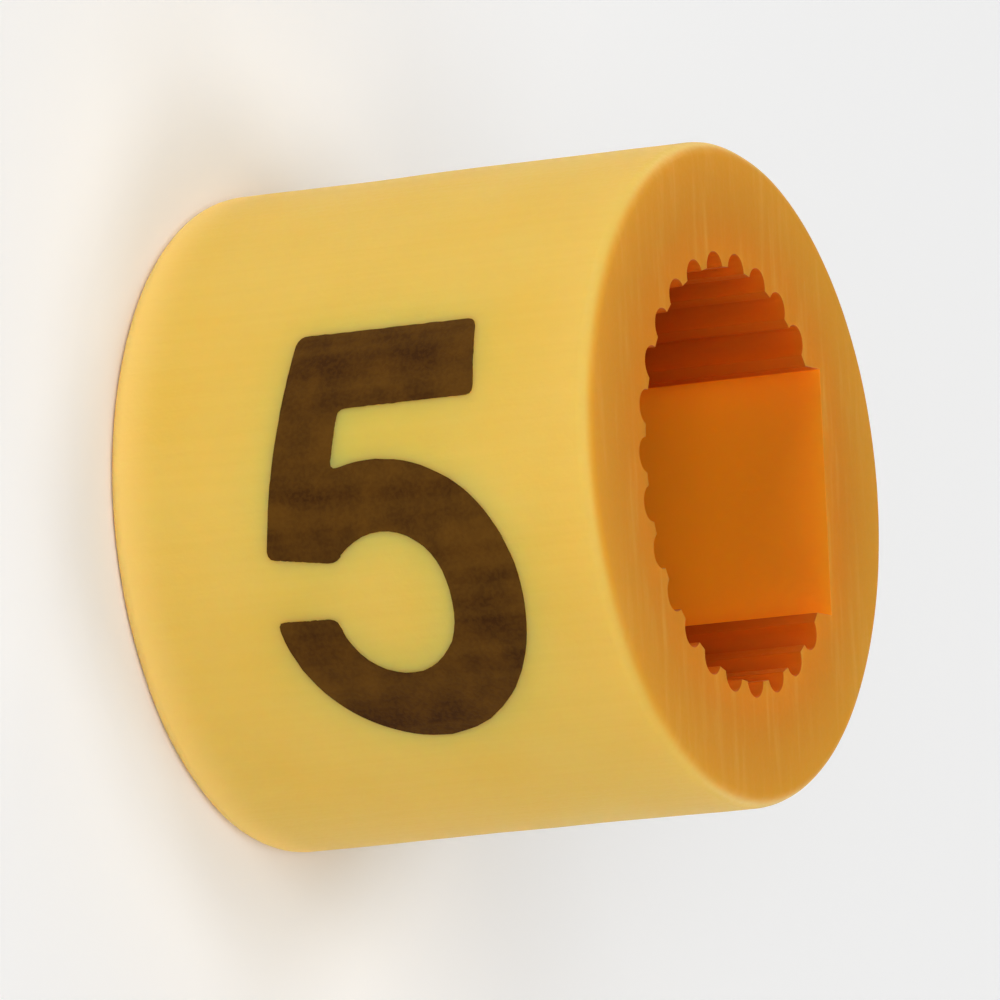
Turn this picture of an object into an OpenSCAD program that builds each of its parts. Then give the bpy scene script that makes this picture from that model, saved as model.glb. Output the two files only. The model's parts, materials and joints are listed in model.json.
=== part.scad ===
// Slip-on cable marker: a short, thick-walled sleeve of soft plastic, cut square
// from an extruded tube. The wire passes through the bore. Fine flutes leave narrow
// ribs that grip its insulation, and the wall opposite the printed face carries a
// plain flat land. The sleeve stands on one cut end, with its bore along +Z, its
// printed face towards -Y and the land on the +Y side of the bore.

/* [Sleeve] */
// Outside diameter of the sleeve
outer_d = 6; // [5.6:0.1:7]
// Length from cut end to cut end
sleeve_l = 4.8; // [3:0.1:9]
// Rounding of the outer rim at both cut ends
rim_r = 0.14; // [0.04:0.02:0.4]

/* [Bore] */
// Diameter of the circle that the rib crests touch, which is the widest wire taken
grip_d = 3.72; // [3.4:0.02:4]
// Width of one rib at its crest
rib_w = 0.12; // [0.08:0.01:0.18]
// Number of flutes between the two edges of the land
flute_count = 21; // [15:1:26]
// Depth of a flute below the rib crests
flute_depth = 0.14; // [0.08:0.01:0.22]

/* [Land] */
// Width of the flat land across the bore
land_w = 2.24; // [1.8:0.02:2.5]
// How far the middle of the land stands in from the circle of the rib crests
land_rise = 0.08; // [0.02:0.01:0.09]

/* [Hidden] */
$fn = 96;

outer_r = outer_d / 2;
grip_r = grip_d / 2;
// Distance of the land's flat face from the bore axis
land_r = grip_r - land_rise;

// Angles round the bore, counted from the middle of the land
land_half_deg = asin(land_w / 2 / grip_r);
rib_deg = 2 * asin(rib_w / 2 / grip_r);
flute_start_deg = land_half_deg + rib_deg;
flute_pitch_deg = (360 - 2 * flute_start_deg + rib_deg) / flute_count;
flute_half_deg = (flute_pitch_deg - rib_deg) / 2;

// A flute is an arc through both of its rib edges and its deepest point
flute_half_w = grip_r * sin(flute_half_deg);
flute_rise = grip_r + flute_depth - grip_r * cos(flute_half_deg);
flute_r = (flute_half_w * flute_half_w + flute_rise * flute_rise) / (2 * flute_rise);
flute_centre_r = grip_r + flute_depth - flute_r;

// How far a cutting shape runs past the ends of the sleeve
overrun = 1;

// Half section of the solid rod: a rectangle whose two outer corners are rounded
module rod_half_section() {
    square([outer_r - rim_r, sleeve_l]);
    translate([0, rim_r])
        square([outer_r, sleeve_l - 2 * rim_r]);
    for (height = [rim_r, sleeve_l - rim_r])
        translate([outer_r - rim_r, height])
            circle(r = rim_r);
}

// Flutes, each turned to its own place from the +X edge of the land right round
// to the -X edge
module flutes() {
    for (i = [0 : flute_count - 1])
        rotate(-(flute_start_deg + flute_half_deg + i * flute_pitch_deg))
            translate([0, flute_centre_r])
                circle(r = flute_r);
}

// Section of the bore: the grip circle and its flutes, squared out to the width of
// the land and closed off flat by it
module bore_section() {
    intersection() {
        union() {
            circle(r = grip_r);
            flutes();
            translate([-land_w / 2, 0])
                square([land_w, outer_r]);
        }
        translate([-outer_d, -outer_d])
            square([2 * outer_d, outer_d + land_r]);
    }
}

// The whole marker, one extruded and cut piece
module marker_sleeve() {
    color("#e6be58")
        difference() {
            rotate_extrude()
                rod_half_section();
            translate([0, 0, -overrun])
                linear_extrude(height = sleeve_l + 2 * overrun)
                    bore_section();
        }
}

marker_sleeve();
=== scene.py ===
# %% [markdown]
# # A slip-on cable marker
# The object is one short sleeve of soft yellow plastic with a dark printed numeral.
# It is slipped over a wire to number it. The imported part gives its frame: the sleeve
# stands on a cut end at the origin, its bore runs up +Z, and its print faces -Y.

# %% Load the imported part
import json
import math

import bpy
from mathutils import Matrix, Vector


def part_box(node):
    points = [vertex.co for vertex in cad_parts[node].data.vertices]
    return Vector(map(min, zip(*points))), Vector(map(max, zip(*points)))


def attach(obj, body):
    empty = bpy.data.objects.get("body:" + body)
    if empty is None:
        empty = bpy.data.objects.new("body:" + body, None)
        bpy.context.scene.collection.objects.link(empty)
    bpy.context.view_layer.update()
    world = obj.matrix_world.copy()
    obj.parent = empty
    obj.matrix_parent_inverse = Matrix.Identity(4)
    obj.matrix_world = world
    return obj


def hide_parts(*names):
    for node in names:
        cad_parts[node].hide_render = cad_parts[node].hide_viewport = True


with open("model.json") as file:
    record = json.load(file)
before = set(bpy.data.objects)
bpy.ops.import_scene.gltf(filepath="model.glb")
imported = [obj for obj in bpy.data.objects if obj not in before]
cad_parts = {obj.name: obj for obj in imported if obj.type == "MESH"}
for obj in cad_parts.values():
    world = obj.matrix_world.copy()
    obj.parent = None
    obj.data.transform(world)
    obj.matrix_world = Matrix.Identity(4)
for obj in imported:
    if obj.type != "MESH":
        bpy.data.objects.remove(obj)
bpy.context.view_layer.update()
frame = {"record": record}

MM = 0.001

# %% [markdown]
# ## Sizes
# Everything is modelled in millimetres and scaled to metres once it is finished, since
# bevels and merges behave better near one unit than near a thousandth of one. The outside
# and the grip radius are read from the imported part. The fine section of the bore can't be
# read from it, so its few driving sizes are repeated here.

# %% Driving sizes, in millimetres
sleeve_low, sleeve_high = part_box("marker_sleeve")
outer_r = round((sleeve_high.x - sleeve_low.x) / 2 / MM, 2)
sleeve_l = round(sleeve_high.z / MM, 2)
mounts = {mount["name"]: mount for mount in frame["record"]["mounts"]}
grip_r = mounts["wire_grip"]["dims"]["r_mm"]
rim_r = 0.14
rib_w = 0.12
flute_count = 21
flute_depth = 0.14
land_w = 2.24
land_rise = 0.08
land_r = grip_r - land_rise
print("sleeve:", outer_r, "mm radius,", sleeve_l, "mm long, grip radius", grip_r, "mm")

# %% [markdown]
# ## A pen made of operators
# The section of the bore and the outline of the numeral are both made of straight lines and
# arcs. One way is a curve object, but its handles only come close to an arc. Here a single
# vertex is the pen: extruding it draws a line, and spinning it about a point draws a true arc.

# %% The pen
def start_outline(name, point):
    """A new mesh that holds one selected vertex, in edit mode."""
    bpy.ops.object.select_all(action="DESELECT")
    bpy.ops.mesh.primitive_plane_add(size=1)
    outline = bpy.context.object
    outline.name = name
    bpy.ops.object.mode_set(mode="EDIT")
    bpy.ops.mesh.select_mode(type="VERT")
    bpy.ops.mesh.merge(type="CENTER")
    bpy.ops.transform.translate(value=(point[0], point[1], 0))
    return outline


def line(start, end):
    """Draws a straight line from the pen's place to the end."""
    step = (end[0] - start[0], end[1] - start[1], 0)
    bpy.ops.mesh.extrude_vertices_move(TRANSFORM_OT_translate={"value": step})
    return end


def arc(start, centre, degrees, steps):
    """Draws an arc about a centre, counter-clockwise where degrees is positive."""
    turn = math.radians(degrees)
    bpy.ops.mesh.spin(steps=steps, angle=turn, center=(centre[0], centre[1], 0), axis=(0, 0, -1))
    spoke = Matrix.Rotation(turn, 2) @ Vector((start[0] - centre[0], start[1] - centre[1]))
    return (centre[0] + spoke.x, centre[1] + spoke.y)


def close_outline():
    """Joins the pen to its start and fills the outline with one face."""
    bpy.ops.mesh.select_all(action="SELECT")
    bpy.ops.mesh.edge_face_add()


def raise_outline(bottom, top):
    """Makes the filled outline that is being drawn a solid from bottom to top."""
    bpy.ops.mesh.select_all(action="SELECT")
    bpy.ops.transform.translate(value=(0, 0, bottom))
    bpy.ops.mesh.extrude_region_move(TRANSFORM_OT_translate={"value": (0, 0, top - bottom)})
    bpy.ops.mesh.select_all(action="SELECT")
    bpy.ops.mesh.normals_make_consistent(inside=False)
    bpy.ops.object.mode_set(mode="OBJECT")


def polar(centre, radius, degrees):
    """The point at this radius and direction from a centre."""
    turn = math.radians(degrees)
    return (centre[0] + radius * math.cos(turn), centre[1] + radius * math.sin(turn))


# %% [markdown]
# ## The rod
# The real sleeve starts as an extruded tube and is cut square, which leaves a rim that is
# just softened. A plain cylinder gives the outside, and a bevel rounds both of its rims.
# Cuts along the length then give it rows, so that the next step can make it uneven.

# %% Rod with rounded rims
ROUND_STEPS = 240
RIM_SEGMENTS = 6
ROUND_PROFILE = 0.5
LENGTH_CUTS = 15
LEVEL = 0.001
LONG_EDGE = 1


def select_edges(piece, wanted):
    """Selects the edges of a mesh in edit mode whose span, end to end, passes a test."""
    bpy.ops.mesh.select_mode(type="EDGE")
    bpy.ops.mesh.select_all(action="DESELECT")
    bpy.ops.object.mode_set(mode="OBJECT")
    points = piece.data.vertices
    for edge in piece.data.edges:
        a, b = (points[i].co for i in edge.vertices)
        edge.select = wanted(b - a)
    bpy.ops.object.mode_set(mode="EDIT")


bpy.ops.object.select_all(action="DESELECT")
bpy.ops.mesh.primitive_cylinder_add(
    vertices=ROUND_STEPS, radius=outer_r, depth=sleeve_l, location=(0, 0, sleeve_l / 2)
)
sleeve = bpy.context.object
sleeve.name = "sleeve"
bpy.ops.object.transform_apply(location=True)
bpy.ops.object.mode_set(mode="EDIT")
select_edges(sleeve, lambda span: abs(span.z) < LEVEL)
bpy.ops.mesh.bevel(offset=rim_r, segments=RIM_SEGMENTS, profile=ROUND_PROFILE, affect="EDGES")
select_edges(sleeve, lambda span: abs(span.z) > LONG_EDGE)
bpy.ops.mesh.subdivide(number_cuts=LENGTH_CUTS)
bpy.ops.object.mode_set(mode="OBJECT")
print("rod:", len(sleeve.data.polygons), "faces")

# %% [markdown]
# ## A soft, uneven wall
# Soft plastic never leaves the die perfectly round, and a perfect cylinder looks drawn. The
# wall could be sculpted, but a displace modifier with a cloud texture gives the same one each
# time. Its brightest clouds leave the wall at full size and the others push it in, so the
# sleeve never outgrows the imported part. The weight fades out round the rims, so the cut
# ends stay flat. A copy of the rod is kept for the print.

# %% Make the wall uneven
UNEVENNESS = 0.05
FULL_SIZE_AT = 0.8
LUMP_SIZE = 2.4
NEAR_MIDDLE = 1


def choose(piece):
    """Makes a piece the active one and the only one that is selected."""
    bpy.ops.object.select_all(action="DESELECT")
    piece.select_set(True)
    bpy.context.view_layer.objects.active = piece


def apply_modifier(piece, kind, **settings):
    """Adds a modifier to a piece and applies it at once."""
    choose(piece)
    modifier = piece.modifiers.new(kind.lower(), kind)
    for name, value in settings.items():
        setattr(modifier, name, value)
    bpy.ops.object.modifier_apply(modifier=modifier.name)


def copy_of(piece, name):
    """A copy of a piece with its own mesh."""
    choose(piece)
    bpy.ops.object.duplicate(linked=False)
    bpy.context.object.name = name
    return bpy.context.object


wall = sleeve.vertex_groups.new(name="wall")
for vertex in sleeve.data.vertices:
    past_cap = vertex.co.xy.length - (outer_r - rim_r)
    wall.add([vertex.index], max(0, min(1, past_cap / rim_r)), "REPLACE")
lumps = bpy.data.textures.new("wall_lumps", "CLOUDS")
lumps.noise_scale = LUMP_SIZE
apply_modifier(
    sleeve, "DISPLACE", texture=lumps, texture_coords="LOCAL", vertex_group="wall",
    strength=UNEVENNESS, mid_level=FULL_SIZE_AT,
)
bpy.data.textures.remove(lumps)
blank = copy_of(sleeve, "blank")
waist = [v.co.xy.length for v in sleeve.data.vertices if abs(v.co.z - sleeve_l / 2) < NEAR_MIDDLE]
print("wall: radius from", round(min(waist), 3), "to", round(max(waist), 3), "mm")

# %% [markdown]
# ## The bore
# Fine flutes run along the bore and leave narrow ribs that grip the wire. The wall opposite
# the print carries a wide flat land. The pen draws that section once round, from one edge
# of the land to the other: a rib, then a flute and a rib for each flute.

# %% Section of the bore
land_edge_deg = math.degrees(math.acos(land_w / 2 / grip_r))
rib_deg = 2 * math.degrees(math.asin(rib_w / 2 / grip_r))
fluted_deg = 180 + 2 * land_edge_deg - rib_deg
pitch_deg = fluted_deg / flute_count
flute_half_deg = (pitch_deg - rib_deg) / 2
flute_half_w = grip_r * math.sin(math.radians(flute_half_deg))
flute_rise = grip_r + flute_depth - grip_r * math.cos(math.radians(flute_half_deg))
flute_r = (flute_half_w**2 + flute_rise**2) / (2 * flute_rise)
flute_sweep = 2 * math.degrees(math.acos((flute_r - flute_rise) / flute_r))
AXIS = (0, 0)
RIB_STEPS, FLUTE_STEPS = 3, 14
OVERRUN = 1

right_corner = (land_w / 2, land_r)
left_corner = (-land_w / 2, land_r)
bore = start_outline("bore_cutter", right_corner)
pen = line(right_corner, polar(AXIS, grip_r, land_edge_deg))
pen = arc(pen, AXIS, -rib_deg, RIB_STEPS)
for flute in range(flute_count):
    flute_deg = land_edge_deg - rib_deg - flute * pitch_deg - flute_half_deg
    flute_centre = polar(AXIS, grip_r + flute_depth - flute_r, flute_deg)
    pen = arc(pen, flute_centre, -flute_sweep, FLUTE_STEPS)
    pen = arc(pen, AXIS, -rib_deg, RIB_STEPS)
line(pen, left_corner)
close_outline()
raise_outline(-OVERRUN, sleeve_l + OVERRUN)
print("bore section:", len(bore.data.polygons) - 2, "facets, flute radius", round(flute_r, 3), "mm")

# %% [markdown]
# ## Cutting the bore
# A boolean takes the bore out of the rod, as the die does in one go. A narrow bevel then
# softens the rib edges and the inner rims, because nothing on soft plastic is truly sharp.
# Smooth shading stops at the sharp edges, and weighted normals keep the flat ends flat.

# %% Cut, soften and shade
EDGE_SOFTNESS = 0.022
SOFT_SEGMENTS = 3
FLAT_FIRST = 100
SHARP_ANGLE = math.radians(40)
SMOOTH_ANGLE = math.radians(32)


def cut(piece, tool, operation):
    """Applies a boolean to a piece and removes the tool."""
    apply_modifier(piece, "BOOLEAN", operation=operation, object=tool, solver="MANIFOLD")
    bpy.data.objects.remove(tool)


cut(sleeve, bore, "DIFFERENCE")
apply_modifier(
    sleeve, "BEVEL", width=EDGE_SOFTNESS, segments=SOFT_SEGMENTS,
    limit_method="ANGLE", angle_limit=SHARP_ANGLE,
)
bpy.ops.object.shade_smooth_by_angle(angle=SMOOTH_ANGLE)
apply_modifier(sleeve, "WEIGHTED_NORMAL", keep_sharp=True, weight=FLAT_FIRST)
print("sleeve:", len(sleeve.data.polygons), "faces")

# %% [markdown]
# ## The numeral
# The numeral is a film of ink on the outside. It could be painted by the material, but a
# thin piece of its own stays crisp at any distance. The pen draws its outline flat, as the
# printing plate carries it: the bar, the flatter crown of the bowl, the bowl, its eye and the
# stem. The crown's centre lies on the line from the bowl's centre to the place where the two
# meet, so one runs into the other with no kink. The first size of a point runs along the
# sleeve, and the second runs up the numeral.

# %% Outline of the numeral
ARC_STEP = 0.09
bar_top, bar_bottom = 1.62, 0.95
bar_end_top, bar_end_bottom = 3.61, 3.66
bar_inner = 2.32
stem_top = (1.84, bar_top)
stem_foot = (1.54, -0.31)
bowl_centre, bowl_r = (2.73, -0.785), 1.223
crown_r = 1.336
crown_from, crown_to, bowl_to = 107.5, 40, -176
eye_low, eye_high, eye_r = (2.68, -0.853), (2.68, -0.738), 0.575
eye_from, eye_to = -176.5, 144.5
crown_centre = polar(bowl_centre, bowl_r - crown_r, crown_to)


def curve(start, centre, radius, degrees):
    """Draws an arc in steps of one length, whatever its radius."""
    return arc(start, centre, degrees, round(radius * math.radians(abs(degrees)) / ARC_STEP))


bar_corners = [(bar_end_top, bar_top), (bar_end_bottom, bar_bottom), (bar_inner, bar_bottom)]
crown_start = polar(crown_centre, crown_r, crown_from)
tip_outer, tip_inner = polar(bowl_centre, bowl_r, bowl_to), polar(eye_low, eye_r, eye_from)
eye_end = polar(eye_high, eye_r, eye_to)
corners = [stem_top, *bar_corners, crown_start, tip_outer, tip_inner, eye_end, stem_foot]

numeral = start_outline("printed_numeral", stem_top)
pen = stem_top
for corner in (*bar_corners, crown_start):
    pen = line(pen, corner)
pen = curve(pen, crown_centre, crown_r, crown_to - crown_from)
pen = curve(pen, bowl_centre, bowl_r, bowl_to - crown_to)
pen = line(pen, tip_inner)
pen = curve(pen, eye_low, eye_r, -eye_from)
pen = line(pen, polar(eye_high, eye_r, 0))
pen = curve(pen, eye_high, eye_r, eye_to)
line(pen, stem_foot)
close_outline()
print("numeral outline:", len(corners), "corners, tip at", [round(c, 3) for c in tip_outer])

# %% [markdown]
# ## The edge of the print
# Ink creeps a little before it dries, so the corners of a print are round and its edge is not
# quite true. Each corner gets a vertex bevel, which has to stay shorter than the steps of the
# arcs beside it. The straight sides are then divided finely, and every point is moved at
# random by a few thousandths, always from the same seed.

# %% Soften the corners and roughen the edge
CORNER_R = 0.07
CORNER_SEGMENTS = 3
SAME_PLACE = 0.001
EDGE_WOBBLE, WOBBLE_SEED = 0.0045, 5
LONG_SIDE = 0.3
SIDE_CUTS = 24
PLATE_BOTTOM, PLATE_TOP = outer_r - 2.6, outer_r + 1

bpy.ops.mesh.select_mode(type="VERT")
bpy.ops.mesh.select_all(action="DESELECT")
bpy.ops.object.mode_set(mode="OBJECT")
for vertex in numeral.data.vertices:
    vertex.select = min(math.dist(vertex.co.xy, corner) for corner in corners) < SAME_PLACE
bpy.ops.object.mode_set(mode="EDIT")
bpy.ops.mesh.bevel(offset=CORNER_R, segments=CORNER_SEGMENTS, affect="VERTICES")
select_edges(numeral, lambda span: span.length > LONG_SIDE)
bpy.ops.mesh.subdivide(number_cuts=SIDE_CUTS)
bpy.ops.mesh.select_all(action="SELECT")
bpy.ops.transform.vertex_random(offset=EDGE_WOBBLE, seed=WOBBLE_SEED)
bpy.ops.transform.resize(value=(1, 1, 0), center_override=(0, 0, 0))
raise_outline(PLATE_BOTTOM, PLATE_TOP)
print("numeral outline:", len(numeral.data.polygons) - 2, "sides")

# %% [markdown]
# ## Wrapping the print
# The raised outline is now a block, as thick as a stamp. It is turned to face the side of the
# sleeve and cut against a thin shell. The shell comes from the kept copy of the rod, swollen
# by the film's thickness and hollowed, so the film follows each unevenness of the wall.

# %% Wrap the film on the sleeve
PRINT_AZIMUTH = 8.0
FILM_OUT = 0.006
FILM_IN = 0.02

core = copy_of(blank, "film_core")
apply_modifier(core, "DISPLACE", strength=-FILM_IN, mid_level=0)
apply_modifier(blank, "DISPLACE", strength=FILM_OUT, mid_level=0)
cut(blank, core, "DIFFERENCE")
to_side = Matrix(((0, -1, 0), (0, 0, -1), (1, 0, 0))).to_4x4()
choose(numeral)
numeral.matrix_world = Matrix.Rotation(math.radians(PRINT_AZIMUTH), 4, "Z") @ to_side
bpy.ops.object.transform_apply(location=True, rotation=True, scale=True)
cut(numeral, blank, "INTERSECT")
bpy.ops.object.shade_smooth_by_angle(angle=SMOOTH_ANGLE)
print("numeral film:", len(numeral.data.polygons), "faces")

# %% [markdown]
# ## From millimetres to metres
# The part is kept in metres. Scaling an object would leave the scale on it, and patterns would
# shrink with it, so the scale is applied: each piece sits at the origin with its place in its mesh.

# %% Scale the pieces to metres
for piece in (sleeve, numeral):
    choose(piece)
    piece.scale = (MM, MM, MM)
    bpy.ops.object.transform_apply(location=True, rotation=True, scale=True)
    print(piece.name, "is", [round(side / MM, 3) for side in piece.dimensions], "mm")

# %% [markdown]
# ## Building materials
# Each look is mixed from a few measured masks, so one helper adds a node and feeds it. A value
# that is a socket is linked, and any other value is set on the node itself. Patterns read the
# Object coordinates, counted in millimetres, so they stay on the piece when it moves.

# %% Node helpers
def add(tree, kind, inputs, **settings):
    """Adds a node, sets its options and fills its inputs by name or by number."""
    node = tree.nodes.new(kind)
    for name, value in settings.items():
        setattr(node, name, value)
    for key, value in inputs.items():
        if isinstance(value, bpy.types.NodeSocket):
            tree.links.new(value, node.inputs[key])
        else:
            node.inputs[key].default_value = value
    return node


def maths(tree, operation, a, b=0.0):
    """The result of one sum on two values or sockets."""
    return add(tree, "ShaderNodeMath", {0: a, 1: b}, operation=operation).outputs[0]


def ramp(tree, value, low, high, start=0.0, end=1.0):
    """A mask that goes smoothly from its start at low to its end at high."""
    inputs = {"Value": value, "From Min": low, "From Max": high, "To Min": start, "To Max": end}
    return add(tree, "ShaderNodeMapRange", inputs, interpolation_type="SMOOTHSTEP").outputs[0]


def blend(tree, mask, below, above):
    """One colour where the mask is 0, another where it is 1."""
    return add(tree, "ShaderNodeMix", {0: mask, 6: below, 7: above}, data_type="RGBA").outputs[2]


def rgb(red, green, blue):
    """A colour that is not see-through."""
    return (red, green, blue, 1)


def place_in_mm(tree, stretch=(1, 1, 1)):
    """Object coordinates in millimetres, stretched along an axis where asked."""
    where = add(tree, "ShaderNodeTexCoord", {})
    scale = tuple(s / MM for s in stretch)
    return add(tree, "ShaderNodeMapping", {"Vector": where.outputs["Object"], "Scale": scale}).outputs[0]


def new_material(name):
    """A new material, its node tree and its shader."""
    material = bpy.data.materials.new(name)
    material.use_nodes = True
    return material, material.node_tree, material.node_tree.nodes["Principled BSDF"]


# %% [markdown]
# ## Shared effects
# Two effects are on both the plastic and the ink. Cloudy mottling comes from uneven pigment,
# and fine lines along the sleeve come from the extrusion die. Each is a node group with its
# own inputs, so a material only sets how coarse it is.

# %% Groups for mottling and die lines
NOISE_MIDDLE = 0.5
LINE_STRETCH = (1, 1, 0.03)
LINE_DETAIL = 2.0


def new_group(name, sizes):
    """A shader group with number inputs and one output called Mask."""
    group = bpy.data.node_groups.new(name, "ShaderNodeTree")
    for label, value in sizes.items():
        socket = group.interface.new_socket(label, in_out="INPUT", socket_type="NodeSocketFloat")
        socket.default_value = value
    group.interface.new_socket("Mask", in_out="OUTPUT", socket_type="NodeSocketFloat")
    return group, group.nodes.new("NodeGroupInput").outputs


def put_out(group, noise, spread):
    """Gives a group's noise out as a mask that is spread about its middle."""
    low_end = maths(group, "SUBTRACT", NOISE_MIDDLE, spread)
    high_end = maths(group, "ADD", NOISE_MIDDLE, spread)
    add(group, "NodeGroupOutput", {"Mask": ramp(group, noise, low_end, high_end)})


def effect(tree, group, sizes):
    """Places a group in a material and returns its mask."""
    node = add(tree, "ShaderNodeGroup", {}, node_tree=group)
    for label, value in sizes.items():
        node.inputs[label].default_value = value
    return node.outputs["Mask"]


mottle, given = new_group("mottling", {"Per mm": 2.0, "Detail": 3.0, "Spread": 0.2})
cloud = add(
    mottle, "ShaderNodeTexNoise",
    {"Vector": place_in_mm(mottle), "Scale": given["Per mm"], "Detail": given["Detail"]},
)
put_out(mottle, cloud.outputs["Fac"], given["Spread"])

die_lines, given = new_group("die lines", {"Per mm": 12.0, "Spread": 0.2})
streak = add(
    die_lines, "ShaderNodeTexNoise",
    {"Vector": place_in_mm(die_lines, LINE_STRETCH), "Scale": given["Per mm"], "Detail": LINE_DETAIL},
)
put_out(die_lines, streak.outputs["Fac"], given["Spread"])
print("groups:", [group.name for group in (mottle, die_lines)])

# %% [markdown]
# ## Zones of the sleeve
# The plastic is one, but the cut ends and bore get painted shade and glow, the rim a painted highlight.
# Painting the zones by hand would need a map, so they are told apart by what the surface knows:
# its distance from the axis, its place along the sleeve and the way it faces.

# %% Masks for the zones
IN_BORE = (2.2, 2.4)
ON_LAND = (land_r - 0.06, land_r - 0.01)
ON_CUT = (0.55, 0.95)
AT_END = (sleeve_l / 2 - 0.75, sleeve_l / 2)
END_FALL = 2
AT_RIM = (outer_r - 0.16, outer_r - 0.05)
PAINTED_LIGHT_DEPTH = (sleeve_l / 2 - 1.3, sleeve_l / 2 + 0.1)
ACROSS_WALL = (1.9, outer_r - 0.05)
# How much painted highlight the rim gets at the foot and at the top.
HIGHLIGHT_AT_FOOT, HIGHLIGHT_AT_TOP = 0.85, 0.06

plastic, tree, shader = new_material("yellow_pvc")
place = place_in_mm(tree)
xyz = add(tree, "ShaderNodeSeparateXYZ", {0: place}).outputs
flat = add(tree, "ShaderNodeCombineXYZ", {0: xyz[0], 1: xyz[1]}).outputs[0]
from_axis = add(tree, "ShaderNodeVectorMath", {0: flat}, operation="LENGTH").outputs["Value"]
from_middle = maths(tree, "ABSOLUTE", maths(tree, "SUBTRACT", xyz[2], sleeve_l / 2))
facing = add(tree, "ShaderNodeTexCoord", {}).outputs["Normal"]
upright = maths(tree, "ABSOLUTE", add(tree, "ShaderNodeSeparateXYZ", {0: facing}).outputs[2])

in_bore = ramp(tree, from_axis, *IN_BORE, start=1, end=0)
on_land = ramp(tree, xyz[1], *ON_LAND)
on_cut = ramp(tree, upright, *ON_CUT)
at_end = maths(tree, "POWER", ramp(tree, from_middle, *AT_END), END_FALL)
rim_painted_highlight = maths(tree, "MULTIPLY", at_end, ramp(tree, from_axis, *AT_RIM))
highlight_share = ramp(tree, xyz[2], 0, sleeve_l, start=HIGHLIGHT_AT_FOOT, end=HIGHLIGHT_AT_TOP)
# How far into the bore the painted shade of the flutes and the painted light of the land reach.
depth_for_painted_light = ramp(tree, from_middle, *PAINTED_LIGHT_DEPTH, start=1, end=0)
towards_rim = ramp(tree, from_axis, *ACROSS_WALL)
print("zones of the plastic:", len(tree.nodes), "nodes")

# %% [markdown]
# ## Yellow plastic
# Soft PVC is tinted right through, so the outside is a warm yellow that pigment clouds and die
# lines vary a little. The cut ends get painted shade, more orange and redder towards the bore, with
# the drag of the blade. The bore gets painted glow: deep orange, flutes darker as painted shade,
# the land lighter deeper in as painted light. The rim gets a painted highlight, strongest at the foot.

# %% Colours of the plastic
FACE_LOW, FACE_HIGH = rgb(0.705, 0.436, 0.064), rgb(0.705, 0.462, 0.084)
FACE_LINE = rgb(0.85, 0.57, 0.13)
# The cut ends are painted more orange than the face as shade, and redder towards the bore as its glow.
CUT_SHADE_INNER, CUT_SHADE_OUTER = rgb(0.70, 0.245, 0.012), rgb(0.71, 0.335, 0.027)
CUT_DRAG = rgb(0.75, 0.375, 0.055)
# The bore's deep orange is painted glow; the flutes are painted darker as shade, more so deeper in, and
# the land is painted lighter deeper in.
FLUTE_SHADE_MOUTH, FLUTE_SHADE_DEEP = rgb(0.48, 0.088, 0.0022), rgb(0.45, 0.063, 0.0013)
LAND_GLOW_MOUTH, LAND_GLOW_DEEP = rgb(0.76, 0.229, 0.0088), rgb(0.98, 0.274, 0.007)
# A painted highlight on the rounded rims.
RIM_HIGHLIGHT = rgb(0.98, 0.60, 0.165)
LINE_SHARE = 0.08
DRAG = (0.45, 0.95)
BLADE_STRETCH = (0.12, 1.0, 0.2)
BLADE_LINES = {"Scale": 8.0, "Detail": 4.0}

clouds = effect(tree, mottle, {"Per mm": 0.8, "Detail": 3.0, "Spread": 0.3})
lines = effect(tree, die_lines, {"Per mm": 16.0, "Spread": 0.24})
blade_place = place_in_mm(tree, BLADE_STRETCH)
blade = add(tree, "ShaderNodeTexNoise", {"Vector": blade_place, **BLADE_LINES}).outputs["Fac"]

outside = blend(tree, clouds, FACE_LOW, FACE_HIGH)
outside = blend(tree, maths(tree, "MULTIPLY", lines, LINE_SHARE), outside, FACE_LINE)
# Painted shade on the cut ends, redder towards the bore, then the real drag of the blade over it.
cut_shade_and_drag = blend(tree, towards_rim, CUT_SHADE_INNER, CUT_SHADE_OUTER)
cut_shade_and_drag = blend(tree, ramp(tree, blade, *DRAG), cut_shade_and_drag, CUT_DRAG)
# Painted shade in the flutes and painted light on the land, graded with depth.
flutes_painted_shade = blend(tree, depth_for_painted_light, FLUTE_SHADE_MOUTH, FLUTE_SHADE_DEEP)
land_painted_glow = blend(tree, depth_for_painted_light, LAND_GLOW_MOUTH, LAND_GLOW_DEEP)
colour = blend(tree, in_bore, outside, blend(tree, on_land, flutes_painted_shade, land_painted_glow))
colour = blend(tree, on_cut, colour, cut_shade_and_drag)
# The painted highlight along the rims, strongest at the foot, where the floor shades the rim.
colour = blend(tree, maths(tree, "MULTIPLY", rim_painted_highlight, highlight_share), colour, RIM_HIGHLIGHT)
tree.links.new(colour, shader.inputs["Base Color"])
print("colours of the plastic:", len(tree.nodes), "nodes so far")

# %% [markdown]
# ## Satin and glow
# The surface is satin, duller where it was cut, with a relief of a few thousandths. The plastic
# is a little translucent, so light that enters it comes out redder a short way off.
# Subsurface scattering gives that. Its diffusion method is chosen, which is quick and smooth
# on so small a piece.

# %% Finish of the plastic
SATIN, GRAIN_DULL, CUT_DULL = 0.46, 0.08, 0.12
LINE_RELIEF, GRAIN_RELIEF, DRAG_RELIEF = 0.4, 0.35, 0.9
RELIEF = {"Strength": 0.25, "Distance": 0.010 * MM}
SOFT_PVC = {
    "IOR": 1.5,
    "Specular IOR Level": 0.12,
    "Subsurface Weight": 0.9,
    "Subsurface Radius": (1.0, 0.32, 0.06),
    "Subsurface Scale": 0.9 * MM,
}

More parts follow.
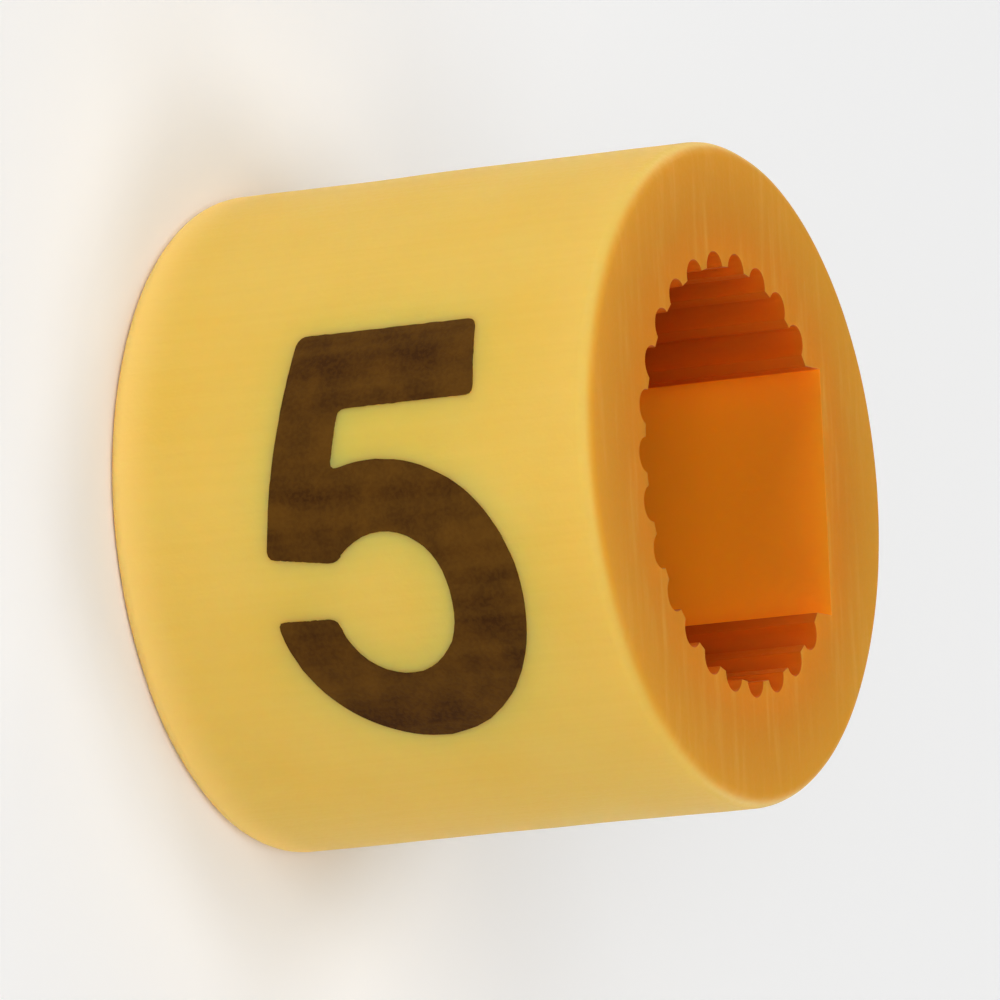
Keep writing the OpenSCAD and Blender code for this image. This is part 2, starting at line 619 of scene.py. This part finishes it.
grain = effect(tree, mottle, {"Per mm": 24.0, "Detail": 3.0, "Spread": 0.25})
satin = maths(tree, "ADD", maths(tree, "MULTIPLY", grain, GRAIN_DULL), SATIN)
rough = maths(tree, "ADD", satin, maths(tree, "MULTIPLY", on_cut, CUT_DULL))
tree.links.new(rough, shader.inputs["Roughness"])

drag = maths(tree, "MULTIPLY", maths(tree, "MULTIPLY", blade, on_cut), DRAG_RELIEF)
fine = maths(tree, "ADD", maths(tree, "MULTIPLY", grain, GRAIN_RELIEF), drag)
height = maths(tree, "ADD", maths(tree, "MULTIPLY", lines, LINE_RELIEF), fine)
bump = add(tree, "ShaderNodeBump", {"Height": height, **RELIEF})
tree.links.new(bump.outputs["Normal"], shader.inputs["Normal"])
shader.subsurface_method = "BURLEY"
for label, value in SOFT_PVC.items():
    shader.inputs[label].default_value = value
sleeve.data.materials.clear()
sleeve.data.materials.append(plastic)
print("plastic:", len(tree.nodes), "nodes")

# %% [markdown]
# ## Ink
# The print is a dark brown-black that has dried unevenly: denser patches beside thin ones
# where some yellow shows through. It is duller than the plastic under it. The same two groups
# serve again, at coarser and finer sizes, so the ink follows the die lines of the plastic.

# %% Ink material
INK_DENSE, INK_PLAIN = rgb(0.042, 0.013, 0.0005), rgb(0.090, 0.034, 0.002)
INK_THIN, INK_SPECK = rgb(0.125, 0.054, 0.005), rgb(0.14, 0.062, 0.007)
THIN_SHARE, SPECK_SHARE = 0.3, 0.2
INK_DULL, SPECK_DULL = 0.5, 0.14
INK_RELIEF = {"Strength": 0.3, "Distance": 0.008 * MM}
INK_SPECULAR = 0.06

ink, tree, shader = new_material("printed_ink")
patches = effect(tree, mottle, {"Per mm": 2.6, "Detail": 5.0, "Spread": 0.2})
speckle = effect(tree, mottle, {"Per mm": 26.0, "Detail": 2.0, "Spread": 0.14})
lines = effect(tree, die_lines, {"Per mm": 7.0, "Spread": 0.2})
colour = blend(tree, patches, INK_DENSE, INK_PLAIN)
colour = blend(tree, maths(tree, "MULTIPLY", lines, THIN_SHARE), colour, INK_THIN)
colour = blend(tree, maths(tree, "MULTIPLY", speckle, SPECK_SHARE), colour, INK_SPECK)
tree.links.new(colour, shader.inputs["Base Color"])
dull = maths(tree, "ADD", maths(tree, "MULTIPLY", speckle, SPECK_DULL), INK_DULL)
tree.links.new(dull, shader.inputs["Roughness"])
bump = add(tree, "ShaderNodeBump", {"Height": speckle, **INK_RELIEF})
tree.links.new(bump.outputs["Normal"], shader.inputs["Normal"])
shader.inputs["Specular IOR Level"].default_value = INK_SPECULAR
numeral.data.materials.clear()
numeral.data.materials.append(ink)
print("ink:", len(tree.nodes), "nodes")

# %% [markdown]
# ## Floor
# The part stands on a plain white sheet. A white floor lit at a plain level renders pale
# grey. More light would bleach the part, so camera rays see the sheet glow a little instead,
# and reflections see it too. The glow fades out over 1.5 mm towards the sleeve's foot, which
# paints a soft shadow round the foot, and is gone inside the bore, so the sheet seen there
# keeps its own shade.

# %% White sheet
SHEET = {"Base Color": rgb(0.9, 0.9, 0.9), "Roughness": 0.9, "Specular IOR Level": 0.1}
SHEET_SIZE = 2
SHEET_GLOW = 0.17
WHITE = rgb(1, 1, 1)
PAINTED_FOOT_SHADOW = (outer_r - rim_r, outer_r + 1.5)

bpy.ops.object.select_all(action="DESELECT")
bpy.ops.mesh.primitive_plane_add(size=SHEET_SIZE)
floor = bpy.context.object
floor.name = "floor"
sheet, tree, shader = new_material("white_sheet")
for label, value in SHEET.items():
    shader.inputs[label].default_value = value
path = add(tree, "ShaderNodeLightPath", {}).outputs
mirrored = maths(tree, "ADD", path["Is Glossy Ray"], path["Is Transmission Ray"])
seen = maths(tree, "ADD", path["Is Camera Ray"], mirrored)
place = place_in_mm(tree)
from_foot = add(tree, "ShaderNodeVectorMath", {0: place}, operation="LENGTH").outputs["Value"]
# The glow fades near the foot, which paints a soft shadow round it.
glow = maths(tree, "MULTIPLY", seen, ramp(tree, from_foot, *PAINTED_FOOT_SHADOW, end=SHEET_GLOW))
shader.inputs["Emission Color"].default_value = WHITE
tree.links.new(glow, shader.inputs["Emission Strength"])
floor.data.materials.append(sheet)
print("floor:", [round(side, 2) for side in floor.dimensions[:2]], "m")

# %% [markdown]
# ## Light
# One lamp would leave the sides of so round a piece dull, and a bright world would veil them with
# white reflections. So the part stands in a ring of five soft lamps, as small goods do in a
# studio: one by the camera, one on each side and two behind, with a weak white world between
# them. Together they come to about one, at which a colour renders as it is written.

# %% Studio light
WORLD_LEVEL = 0.24
LAMP_DISTANCE = 100 * MM
LAMPS = {
    "key_lamp": {"azimuth": 0, "elevation": 38, "size": 70 * MM, "watts": 0.055},
    "upper_lamp": {"azimuth": -60, "elevation": 8, "size": 34 * MM, "watts": 0.034},
    "lower_lamp": {"azimuth": 74, "elevation": 17, "size": 45 * MM, "watts": 0.026},
    "back_right_lamp": {"azimuth": 146, "elevation": 13, "size": 45 * MM, "watts": 0.032},
    "back_left_lamp": {"azimuth": 230, "elevation": 13, "size": 45 * MM, "watts": 0.032},
}

world = bpy.data.worlds.new("studio")
world.use_nodes = True
background = world.node_tree.nodes["Background"].inputs
background["Color"].default_value = WHITE
background["Strength"].default_value = WORLD_LEVEL
bpy.context.scene.world = world
middle = Vector((0, 0, sleeve_l * MM / 2))


def towards(azimuth, elevation):
    """The direction from the sleeve to an azimuth, counted from -Y, and an elevation in degrees."""
    across, rise = math.radians(azimuth), math.radians(elevation)
    return Vector(
        (math.sin(across) * math.cos(rise), -math.cos(across) * math.cos(rise), math.sin(rise))
    )


for name, lamp in LAMPS.items():
    aim = towards(lamp["azimuth"], lamp["elevation"])
    bpy.ops.object.light_add(type="AREA", location=middle + aim * LAMP_DISTANCE)
    softbox = bpy.context.object
    softbox.name = name
    softbox.data.size = lamp["size"]
    softbox.data.energy = lamp["watts"]
    softbox.rotation_mode = "QUATERNION"
    softbox.rotation_quaternion = (-aim).to_track_quat("-Z", "Y")
    print(name, "at", [round(c / MM) for c in softbox.location], "mm")

# %% [markdown]
# ## Camera
# The view is that of a marker lying on its side with its print towards the camera: the camera
# looks down on the upper end and is rolled so that the bore runs to the right of the picture.
# A long lens keeps the sides nearly parallel.

# %% Camera at the viewing angle
CAMERA_AZIMUTH = PRINT_AZIMUTH
CAMERA_ELEVATION = 26.5
CAMERA_TILT = 6.2
LENS = 480
SENSOR = 36
VIEW_W = 9.0 * MM
CLIP_START = 1 * MM

tilt = math.radians(CAMERA_TILT)
back = towards(CAMERA_AZIMUTH, CAMERA_ELEVATION)
along = (Vector((0, 0, 1)) - back.z * back).normalized()
across = back.cross(along)
right = along * math.cos(tilt) - across * math.sin(tilt)
up = along * math.sin(tilt) + across * math.cos(tilt)
distance = VIEW_W * LENS / SENSOR
bpy.ops.object.camera_add(location=middle + back * distance)
camera = bpy.context.object
camera.data.lens = LENS
camera.data.sensor_width = SENSOR
camera.data.clip_start = CLIP_START
camera.rotation_mode = "QUATERNION"
camera.rotation_quaternion = Matrix((right, up, back)).transposed().to_quaternion()
bpy.context.scene.camera = camera
bpy.context.scene.view_settings.view_transform = "Standard"
print("camera:", round(distance / MM, 1), "mm from the middle of the sleeve")

# %% [markdown]
# ## Handing over
# Both pieces ride on the part's one body. The sleeve stands for the imported solid, which stays
# hidden.

# %% Hand over
for piece in (sleeve, numeral):
    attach(piece, "root")
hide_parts("marker_sleeve")
